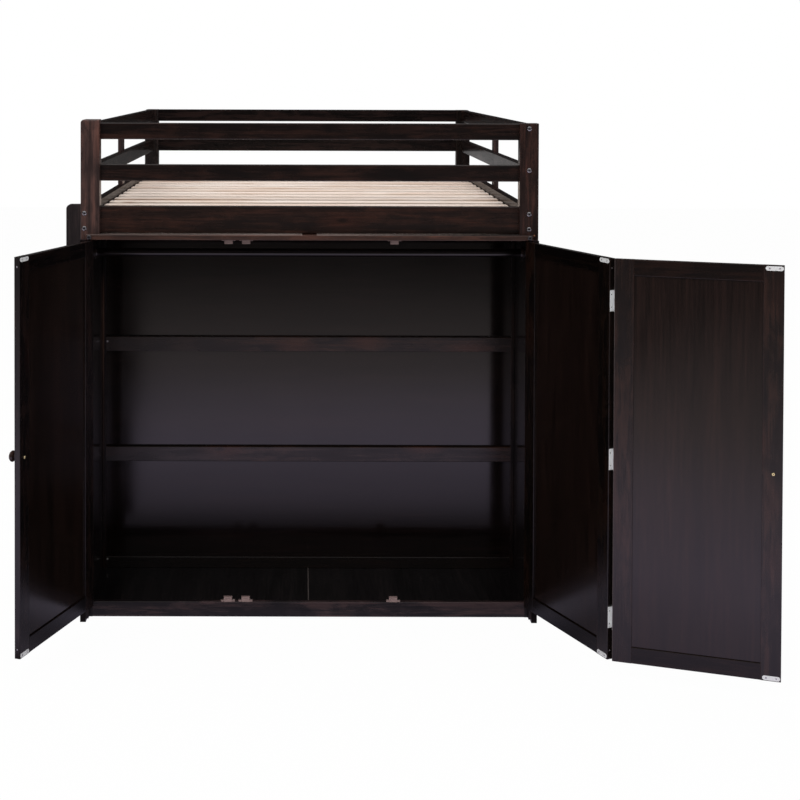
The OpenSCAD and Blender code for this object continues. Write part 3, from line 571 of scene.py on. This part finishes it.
# Each door gets its own tone of the one stain and panel board: painted light, lit and shaded
# copies, the outer leaf's the lightest.
for door, turned, tone, panel_tone, mark in (
        ("left_door", LEFT_OPEN, (0.0050, 0.0029, 0.0027), (0.0066, 0.0037, 0.0030), None),
        ("inner_leaf", -LEAF_OPEN, (0.0040, 0.0023, 0.0017), (0.0066, 0.0037, 0.0030), None),
        ("outer_leaf", -(LEAF_OPEN + FOLD_OPEN), (0.0105, 0.0053, 0.0043),
         (0.0092, 0.0045, 0.0037), far_edge_highlight)):
    LOOK[door + "_stiles"] = dark_wood(
        door + "_stile_wood", "Z", turned, base=tone, seed=8.0 + turned, edge_wear_and_highlight_tone=4.0,
        contrast=1.35, knots=0.45, wave=1.6, over=mark)
    LOOK[door + "_rails"] = dark_wood(
        door + "_rail_wood", "X", turned, base=scaled(tone, 0.55), seed=9.0 + turned, spec=0.35,
        edge_wear_and_highlight_tone=6.0)
    LOOK[door + "_panel"] = panel_board(
        door + "_panel_board", "Z", turned, base=panel_tone, seed=10.0 + turned)

for n, obj in nodes.items():
    if not obj.material_slots:
        obj.data.materials.append(LOOK[n])
    for s in obj.material_slots:
        s.material = LOOK[n]


# Modelled fittings; their profiles are in millimetres, with ROUND points round each loop
ROUND = 36


def new_object(name, bm, mats, smooth=True):
    me = bpy.data.meshes.new(name)
    bmesh.ops.recalc_face_normals(bm, faces=bm.faces)
    bm.to_mesh(me)
    bm.free()
    for m in mats:
        me.materials.append(m)
    if smooth:
        for p in me.polygons:
            p.use_smooth = True
    ob = bpy.data.objects.new(name, me)
    bpy.context.scene.collection.objects.link(ob)
    return ob


def skin(bm, loops, mats):
    """Joins loops of points, all of the same count, into one closed skin.

    mats has the material of each ring of faces and, at its end, of the last cap.
    """
    vs = [[bm.verts.new(p) for p in loop] for loop in loops]
    count = len(vs[0])
    for k in range(len(vs) - 1):
        for i in range(count):
            j = (i + 1) % count
            f = bm.faces.new((vs[k][i], vs[k][j], vs[k + 1][j], vs[k + 1][i]))
            f.material_index = mats[k]
    bm.faces.new(list(reversed(vs[0])))
    bm.faces.new(vs[-1]).material_index = mats[-1]


def circle(r, z):
    return [(r * math.cos(2 * math.pi * i / ROUND), r * math.sin(2 * math.pi * i / ROUND), z)
            for i in range(ROUND)]


def hexagon(flat, z):
    """Points on a hexagon, flat from its middle to a side."""
    out = []
    for i in range(ROUND):
        a = 2 * math.pi * i / ROUND
        k = (a + math.pi / 6) % (math.pi / 3) - math.pi / 6
        r = flat / math.cos(k)
        out.append((r * math.cos(a), r * math.sin(a), z))
    return out


def cross(arm, half, z):
    """Points on the outline of a cross slot."""
    out = []
    for i in range(ROUND):
        a = 2 * math.pi * i / ROUND
        q = (a + math.pi / 4) % (math.pi / 2) - math.pi / 4
        reach = min(arm, half / max(abs(math.sin(q)), 1e-6))
        reach = max(reach, half)
        out.append((reach * math.cos(a), reach * math.sin(a), z))
    return out


def placed(loops, m):
    return [[m @ (Vector(p) * 0.001) for p in loop] for loop in loops]


def to_axis(point, normal, spin=0.0):
    """Takes +Z at the origin to a point and its outward direction."""
    q = Vector((0, 0, 1)).rotation_difference(Vector(normal).normalized())
    return (Matrix.Translation(Vector(point)) @ q.to_matrix().to_4x4()
            @ Matrix.Rotation(spin, 4, "Z"))


def add_bolt(bm, m, length=70.0, head=0):
    """A bolt with a domed head and a hexagon socket; head is the head's material."""
    r, h, shank = 7.5, 2.4, 3.0
    socket = 1
    loops = [circle(shank, -length), circle(shank, 0), circle(r, 0), circle(r, h * 0.25),
             circle(r * 0.93, h * 0.62), circle(r * 0.78, h * 0.9), circle(r * 0.62, h),
             hexagon(r * 0.42, h), hexagon(r * 0.38, h - 1.5)]
    skin(bm, placed(loops, m), [head] * 7 + [socket] * 2)


def add_screw(bm, m, r, h, l):
    """A wood screw with a domed head and a cross slot."""
    head, slot = 0, 1
    loops = [circle(r * 0.42, -l), circle(r * 0.42, 0), circle(r, 0), circle(r * 0.97, h * 0.45),
             circle(r * 0.8, h * 0.85), circle(r * 0.62, h), cross(r * 0.55, r * 0.13, h),
             cross(r * 0.46, r * 0.10, h - 0.8)]
    skin(bm, placed(loops, m), [head] * 6 + [slot] * 2)


# Bed bolts: at the front, at the rear, and two through the top board into the front posts
OUTWARD = {FRONT: (0, -1, 0), REAR: (0, 1, 0)}
BOLT_TURN = 0.37
RAIL_BOLTS_UP, GUARD_BOLT_UP = (-0.018, 0.030), 0.011
rail_rows = [RAIL_Z + RAIL_H / 2 + up for up in RAIL_BOLTS_UP]
guard_rows = [z + GUARD_H / 2 + GUARD_BOLT_UP for z in (MID_Z, TOP_Z)]
front_left = [(-HALF + RAIL_T / 2, z) for z in rail_rows]
right = [(GUARD_X + RAIL_T / 2, z) for z in rail_rows + guard_rows]
rear_left = front_left + [(-GUARD_X - RAIL_T / 2, z) for z in guard_rows]
bm = bmesh.new()
k = 0
for y, spots in ((FRONT, front_left + right), (REAR, rear_left + right)):
    for x, z in spots:
        k += 1
        add_bolt(bm, to_axis((x, y, z), OUTWARD[y], k * BOLT_TURN))
for s in (-1, 1):
    k += 1
    at = (s * (GUARD_X + RAIL_T / 2), FRONT - TOP_OUT, RAIL_Z + TOP_T / 2)
    add_bolt(bm, to_axis(at, OUTWARD[FRONT], k), length=55.0, head=2)
bolts = new_object("bolts_hex_socket", bm, [nickel, recess_shade, dark_steel])
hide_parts("frame_bolts")
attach(bolts, "frame")

SCREW_TURN, SCREW_TURN_STEP = 0.5, 0.83


def screws(name, places, body, mat, r, h, l):
    """One piece of domed screws at places, each a point and its outward direction."""
    b = bmesh.new()
    for i, (point, normal) in enumerate(places):
        add_screw(b, to_axis(point, normal, SCREW_TURN + i * SCREW_TURN_STEP), r, h, l)
    ob = new_object(name, b, [mat, recess_shade])
    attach(ob, body)


def on(m, x, y, z, n):
    """A closed door's point and direction, taken to where the door stands."""
    return (m @ Vector((x, y, z)), m.to_3x3() @ Vector(n))


def door_fittings(body, m, strike_x, edge_x, edge_way):
    """Screws in a leaf's strike plates, and in its free edge into the ends of its rails."""
    screws(body + "_strike_screws",
           [on(m, strike_x + s * STRIKE_L * STRIKE_SCREW_AT, INNER_Y + STRIKE_T, z, (0, 1, 0))
            for z in STRIKE_ZS for s in (-1, 1)],
           body, steel, r=2.6, h=0.5, l=7.0)
    screws(body + "_edge_screws",
           [on(m, edge_x, DOOR_FRONT + DOOR_T / 2, z, (edge_way, 0, 0)) for z in EDGE_SCREW_ZS],
           body, steel, r=2.4, h=0.25, l=6.0)


strike_mid = STRIKE_IN + STRIKE_L / 2
door_fittings("left_door", M_LEFT, LEFT_X0 + DOOR_W - strike_mid, LEFT_X0 + DOOR_W, 1)
door_fittings("inner_leaf", M_INNER, INNER_X0 + strike_mid, INNER_X0, -1)
door_fittings("outer_leaf", M_OUTER, OUTER_X0 + strike_mid, OUTER_X0, -1)

# Brass screws that hold the knobs, seen from inside
for body, m, x in (("left_door", M_LEFT, LEFT_X0 + DOOR_W - KNOB_IN),
                   ("outer_leaf", M_OUTER, OUTER_X0 + KNOB_IN)):
    screws(body + "_knob_screw", [on(m, x, INNER_Y + KNOB_SCREW_OUT, KNOB_Z, (0, 1, 0))],
           body, brass, r=4.2, h=1.3, l=3.0)

# Screws in the catches' ears, on the bottom rail and under the top board
places = []
for x in CATCH_XS:
    for s in (-1, 1):
        ear_x = x + s * CATCH_L * CATCH_SCREW_AT
        places.append(((ear_x, CATCH_Y, BOTTOM_TOP + CATCH_EAR_T), (0, 0, 1)))
        places.append(((ear_x, CATCH_Y, RAIL_Z - CATCH_EAR_T), (0, 0, -1)))
screws("catch_screws", places, "frame", steel, r=2.4, h=0.8, l=4.0)

# The copper screw in the right front post, beside the top board's end
screws("post_screw", [((0.7120, FRONT, 1.2276), (0, -1, 0))],
       "frame", copper, r=2.9, h=1.0, l=6.0)

# One screw at each end of each slat
slat_y0 = -((SLATS - 1) * SLAT_PITCH + SLAT_W) / 2
places = [((x, slat_y0 + i * SLAT_PITCH + SLAT_W / 2, RAIL_TOP - SLAT_DROP), (0, 0, 1))
          for i in range(SLATS)
          for x in (-HALF + RAIL_T + SLAT_SCREW_IN, GUARD_X - SLAT_SCREW_IN)]
screws("slat_screws", places, "frame", steel, r=3.4, h=0.6, l=9.0)

# Small screws at the left ends of the upper back rail and the floor's batten
places = [((-0.6895, FRONT + 0.385, z), (0, -1, 0)) for z in (0.8215, 0.070)]
screws("back_rail_screws", places, "frame", steel, r=3.0, h=0.9, l=6.0)

# Where the camera stands, and the Y of its image in the glossy back wall
CAM_X, CAM_BACK, CAM_Z = -0.0266, 4.7501, 1.7318
MIRROR_Y = 4.556

# The floor's glow in reflections, from behind the bed to far in front: Y, strength, tint
GLOW = (
    (4.0, 0.80, (1.0, 0.97, 0.97)), (1.0, 0.50, (1.0, 0.97, 0.97)),
    (-1.0, 0.34, (0.95, 0.86, 1.12)), (-1.12, 0.17, (0.95, 0.86, 1.12)),
    (-1.197, 0.13, (0.95, 0.84, 1.06)), (-1.276, 0.21, (0.95, 0.84, 1.06)),
    (-1.342, 0.30, (0.95, 0.83, 1.06)), (-1.411, 0.41, (0.95, 0.83, 1.06)),
    (-1.553, 0.57, (0.95, 0.82, 1.08)), (-1.702, 0.67, (0.95, 0.82, 1.08)),
    (-1.857, 0.73, (0.95, 0.82, 1.08)), (-2.02, 0.78, (0.95, 0.82, 1.08)),
    (-2.45, 1.02, (0.95, 0.82, 1.08)), (-3.45, 0.93, (0.96, 0.83, 1.00)),
    (-4.27, 0.62, (0.99, 0.86, 0.88)), (-6.1, 0.42, (0.99, 0.87, 0.86)),
    (-7.6, 0.24, (0.99, 0.88, 0.86)), (-9.6, 0.08, (1.0, 0.88, 0.84)))
GLOW_FROM, GLOW_TO = 4.0, -12.0

# Floor: pale under the lamps, near white to the camera, glowing in reflections
FLOOR_HALF = 14.0
bm = bmesh.new()
for x, y in ((-1, -1), (1, -1), (1, 1), (-1, 1)):
    bm.verts.new((x * FLOOR_HALF, y * FLOOR_HALF, 0.0))
bm.faces.new(bm.verts)
t = Tree(bpy.data.materials.new("floor_pale"))
at = t.split(t.co())
glow_color = t.ramp(t.span(at["Y"], GLOW_FROM, GLOW_TO),
                    [((GLOW_FROM - y) / (GLOW_FROM - GLOW_TO), scaled(tint, strength))
                     for y, strength, tint in GLOW])

# A strip of the glow is dark. In the back wall's mirror image it stands along the left edge
# of the opening; side is the place in that image, from the middle, and it drifts a little
# to the right over the middle distance.
STRIP_FROM, STRIP_TO = -0.16, -0.10
side = t.math("DIVIDE", t.math("ADD", at["X"], -CAM_X), t.math("SUBTRACT", MIRROR_Y, at["Y"]))
side = t.math("SUBTRACT", side, t.span(at["Y"], -2.8, -4.0, 0.0, 0.0035))
side = t.math("ADD", side, t.span(at["Y"], -5.5, -8.5, 0.0, 0.0035))
strip = t.ramp(t.span(side, STRIP_FROM, STRIP_TO),
               [((place - STRIP_FROM) / (STRIP_TO - STRIP_FROM), gray(v)) for place, v in (
                   (-0.156, 1.0), (-0.153, 0.0), (-0.1125, 0.0), (-0.1105, 1.0))])
glow_color = t.mix(t.span(at["Y"], -1.30, -1.40), glow_color, t.times(glow_color, strip))

WHITE_SHARE = 0.982
lit = t.n("ShaderNodeBsdfDiffuse")
lit.inputs["Color"].default_value = (0.80, 0.80, 0.80, 1)
white = t.n("ShaderNodeEmission")
glow = t.n("ShaderNodeEmission")
t.link(glow_color, glow.inputs["Color"])
for emission in (white, glow):
    emission.inputs["Strength"].default_value = 1.0
ray = t.n("ShaderNodeLightPath").outputs
seen = t.choose(WHITE_SHARE, lit.outputs[0], white.outputs[0])
shader = t.choose(ray["Is Camera Ray"], lit.outputs[0], seen)
shader = t.choose(ray["Is Glossy Ray"], shader, glow.outputs[0])
floor = new_object("floor", bm, [t.finish(shader)], smooth=False)

# World: white to the camera, soft light all round, and its own brightness in reflections
world = bpy.data.worlds.new("studio")
bpy.context.scene.world = world
t = Tree(world)
way = t.split(t.n("ShaderNodeTexCoord").outputs["Generated"])


def background(color, strength):
    b = t.n("ShaderNodeBackground")
    b.inputs["Color"].default_value = (*color, 1)
    t.put(b, "Strength", strength)
    return b.outputs[0]


# In reflections the world brightens overhead. Straight behind the bed, just below the
# horizon, it is bright on the left and has a fainter patch on the right.
overhead = t.span(way["Z"], 0.22, 0.80, 0.02, 0.9)
behind = t.span(way["Y"], 0.80, 0.93)
low = t.span(way["Z"], -0.038, -0.050, 0.02, 0.33)
across = t.ramp(t.span(way["X"], -0.2, 0.2), [
    (0.35, gray(1.0)), (0.75, gray(0.04)), (0.80, gray(0.18)), (0.85, gray(0.44)),
    (1.0, gray(0.38))])
patch = t.math("MULTIPLY", behind, t.math("MULTIPLY", low, across))
soft = background((1.0, 0.98, 0.97), 0.45)
sky = background((1, 1, 1), 1.0)
mirrored = background((1, 0.97, 0.97), t.math("MAXIMUM", overhead, patch))
ray = t.n("ShaderNodeLightPath").outputs
shader = t.choose(ray["Is Glossy Ray"], soft, mirrored)
shader = t.choose(ray["Is Transmission Ray"], shader, sky)
shader = t.choose(ray["Is Camera Ray"], shader, sky)
t.finish(shader, "ShaderNodeOutputWorld")


def lamp(name, at, to, size, power, color=(1, 1, 1)):
    """A rectangular lamp that lights the scene but shows in no reflection."""
    d = bpy.data.lights.new(name, "AREA")
    d.shape = "RECTANGLE"
    d.size, d.size_y = size
    d.energy = power
    d.color = color
    ob = bpy.data.objects.new(name, d)
    ob.location = at
    ob.rotation_euler = (Vector(to) - Vector(at)).to_track_quat("-Z", "Y").to_euler()
    ob.visible_glossy = False
    ob.visible_camera = False
    bpy.context.scene.collection.objects.link(ob)


lamp("key", (-2.6, -4.2, 4.0), (0, -0.4, 0.8), (2.6, 2.0), 120, (1.0, 0.99, 0.97))
lamp("fill", (3.0, -3.8, 3.0), (0, -0.4, 0.7), (2.4, 2.0), 55, (0.98, 0.99, 1.0))
lamp("top", (0.0, 0.6, 4.2), (0, 0, 1.0), (3.5, 3.5), 70)

# Camera, fitted to the photo: focal length and principal point in pixels, then its angles
PX = 800.0
SENSOR = 36.0
F_PX, U0, V0 = 1503.3, 302.04, 107.19
yaw, pitch, roll = math.radians(0.023), math.radians(1.184), math.radians(0.150)
forward = Vector((math.cos(pitch) * math.sin(yaw), math.cos(pitch) * math.cos(yaw),
                  -math.sin(pitch)))
level_up = Vector((math.sin(pitch) * math.sin(yaw), math.sin(pitch) * math.cos(yaw),
                   math.cos(pitch)))
level_right = Vector((math.cos(yaw), -math.sin(yaw), 0))
cam_right = level_right * math.cos(roll) + level_up * math.sin(roll)
cam_up = level_up * math.cos(roll) - level_right * math.sin(roll)
cam_turn = Matrix((cam_right, cam_up, -forward)).transposed().to_4x4()
cam_data = bpy.data.cameras.new("camera")
cam = bpy.data.objects.new("camera", cam_data)
bpy.context.scene.collection.objects.link(cam)
cam.matrix_world = Matrix.Translation(Vector((CAM_X, FRONT - CAM_BACK, CAM_Z))) @ cam_turn
cam_data.sensor_width = SENSOR
cam_data.sensor_fit = "HORIZONTAL"
cam_data.lens = F_PX * SENSOR / PX
cam_data.shift_x = (PX / 2 - U0) / PX
cam_data.shift_y = (V0 - PX / 2) / PX
cam_data.clip_start, cam_data.clip_end = 0.05, 100.0
bpy.context.scene.camera = cam
bpy.context.scene.view_settings.view_transform = "Standard"
